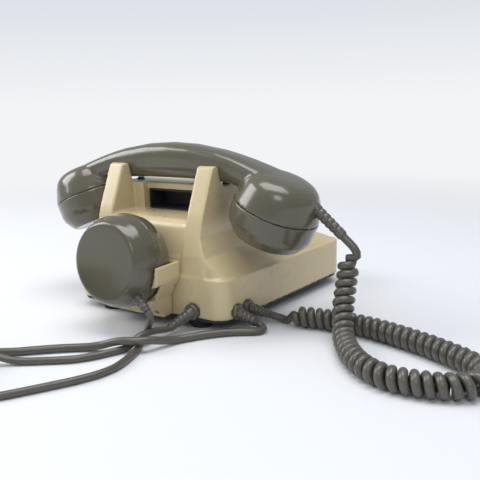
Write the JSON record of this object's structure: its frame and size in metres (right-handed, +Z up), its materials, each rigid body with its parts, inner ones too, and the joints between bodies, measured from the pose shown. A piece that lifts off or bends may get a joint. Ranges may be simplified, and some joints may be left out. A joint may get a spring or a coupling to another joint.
{
  "type": "rotary desk telephone with extra receiver",
  "caption": "Beige and olive two-tone rotary desk telephone with a horned cradle, curly-cord handset and an extra listening receiver in a bracket on its back.",
  "frame": {"origin": "middle of the telephone's footprint, on the surface its feet stand on", "axes": "+Z up, the dial faces -Y, the extra receiver faces +Y, the ear end of the handset is at +X and the mouth end at -X"},
  "size_m": [0.4648, 0.3676, 0.1252],
  "materials": {
    "beige_shell": "glossy moulded",
    "olive_shell": "glossy moulded",
    "dark_base": "fine grained",
    "foot_rubber": "matt",
    "olive_rubber": "matt",
    "ivory_plastic": "glossy moulded",
    "zinc_steel": "plated",
    "yellow_brass": "plain",
    "coil_tape": "wound tape",
    "board": "paper laminate",
    "black_plastic": "matt"
  },
  "bodies": {
    "base": {"housing": "beige_shell", "pocket_lining": "dark_base", "base_plate": "dark_base", "feet": "foot_rubber", "base_screws": "zinc_steel", "number_ring": "ivory_plastic", "dial_bezel": "olive_shell", "finger_stop": "zinc_steel", "dial_plate": "zinc_steel", "spring_barrel": "yellow_brass", "governor_cup": "yellow_brass", "pulse_contacts": "yellow_brass", "hook_contacts": "yellow_brass", "ringer_frame": "zinc_steel", "ringer_coils": "coil_tape", "gong_left": "zinc_steel", "gong_right": "zinc_steel", "gong_screws": "yellow_brass", "circuit_board": "board", "induction_coil": "black_plastic", "capacitor": "zinc_steel", "terminal_block": "ivory_plastic", "receiver_bracket": "beige_shell", "bracket_screws": "zinc_steel", "receiver_gland": "olive_rubber", "line_gland": "olive_rubber", "handset_gland": "olive_rubber", "curly_cord": "olive_rubber", "curly_lead_low": "olive_rubber", "curly_lead_high": "olive_rubber", "receiver_cord": "olive_rubber", "receiver_cord_coil": "olive_rubber", "receiver_cord_return": "olive_rubber", "line_cord": "olive_rubber", "line_cord_coil": "olive_rubber", "line_cord_tail": "olive_rubber", "line_plug": "ivory_plastic", "plug_pins": "yellow_brass", "coil_ties": "black_plastic"},
    "dial": {"finger_wheel": "olive_shell", "hub_cap": "ivory_plastic", "dial_shaft": "zinc_steel", "dial_gear": "yellow_brass"},
    "governor": {"governor_rotor": "zinc_steel"},
    "hook": {"hook_plunger_left": "olive_shell", "hook_plunger_right": "olive_shell", "hook_lever": "zinc_steel"},
    "hammer": {"ringer_hammer": "yellow_brass"},
    "handset": {"handset_body": "olive_shell", "ear_cap": "olive_shell", "mouth_cap": "olive_shell", "ear_capsule": "zinc_steel", "mouth_capsule": "black_plastic", "handset_relief": "olive_rubber"},
    "receiver": {"receiver_shell": "olive_shell", "receiver_cap": "olive_shell", "receiver_capsule": "zinc_steel", "receiver_relief": "olive_rubber"}
  },
  "joints": [
    {"name": "dial_turn", "type": "hinge", "parent": "base", "child": "dial", "pos_m": [0, -0.048, 0.06716], "axis": [0, 0.515, -0.8572], "range_deg": [0, 325], "stiffness_Nm_per_rad": 0.0025, "springref_deg": -17.19},
    {"name": "governor_spin", "type": "hinge", "parent": "base", "child": "governor", "pos_m": [0, -0.05004, 0.04726], "axis": [1, 0, 0], "range_deg": [0, 2600]},
    {"name": "handset_lift", "type": "slide", "parent": "base", "child": "handset", "axis": [0, 0, 1], "range_m": [0, 0.12]},
    {"name": "hook_slide", "type": "slide", "parent": "base", "child": "hook", "axis": [0, 0, 1], "range_m": [0, 0.004]},
    {"name": "receiver_lift", "type": "slide", "parent": "base", "child": "receiver", "axis": [0, 0, 1], "range_m": [0, 0.06]},
    {"name": "hammer_swing", "type": "hinge", "parent": "base", "child": "hammer", "pos_m": [0, 0.036, 0.022], "axis": [0, 1, 0], "range_deg": [-13, 13], "stiffness_Nm_per_rad": 0.001}
  ],
  "couplings": [
    {"joint": "governor_spin", "follows": "dial_turn", "ratio": 8},
    {"joint": "hook_slide", "follows": "handset_lift", "ratio": 0.033333}
  ]
}
